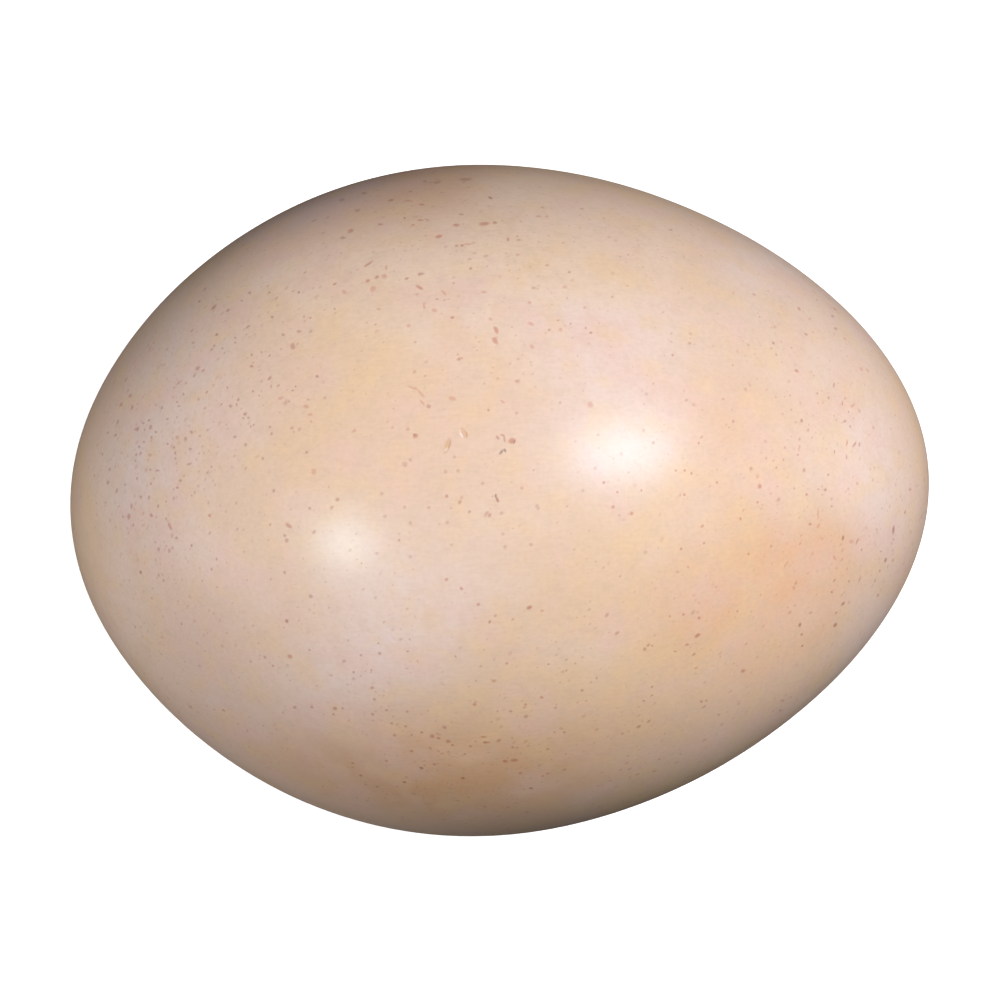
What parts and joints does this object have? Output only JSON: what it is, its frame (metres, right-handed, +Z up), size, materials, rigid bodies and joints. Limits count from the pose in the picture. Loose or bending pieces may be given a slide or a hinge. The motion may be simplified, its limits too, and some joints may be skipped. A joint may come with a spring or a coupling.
{
  "type": "speckled egg",
  "caption": "Large smooth egg with one end slightly more pointed, lying on its side on a small flat spot.",
  "frame": {"origin": "middle of the small flat spot that the egg rests on", "axes": "+X along the egg's long axis towards its smaller end, +Z up from the flat spot, +Y sideways, the side that both ends bow towards"},
  "size_m": [0.15, 0.1172, 0.1167],
  "materials": {
    "shell": "smooth and slightly glossy, pale pinkish cream with fine reddish-brown specks and soft clouds of yellow, orange and mauve"
  },
  "bodies": {
    "root": {"egg": "shell"}
  },
  "joints": []
}
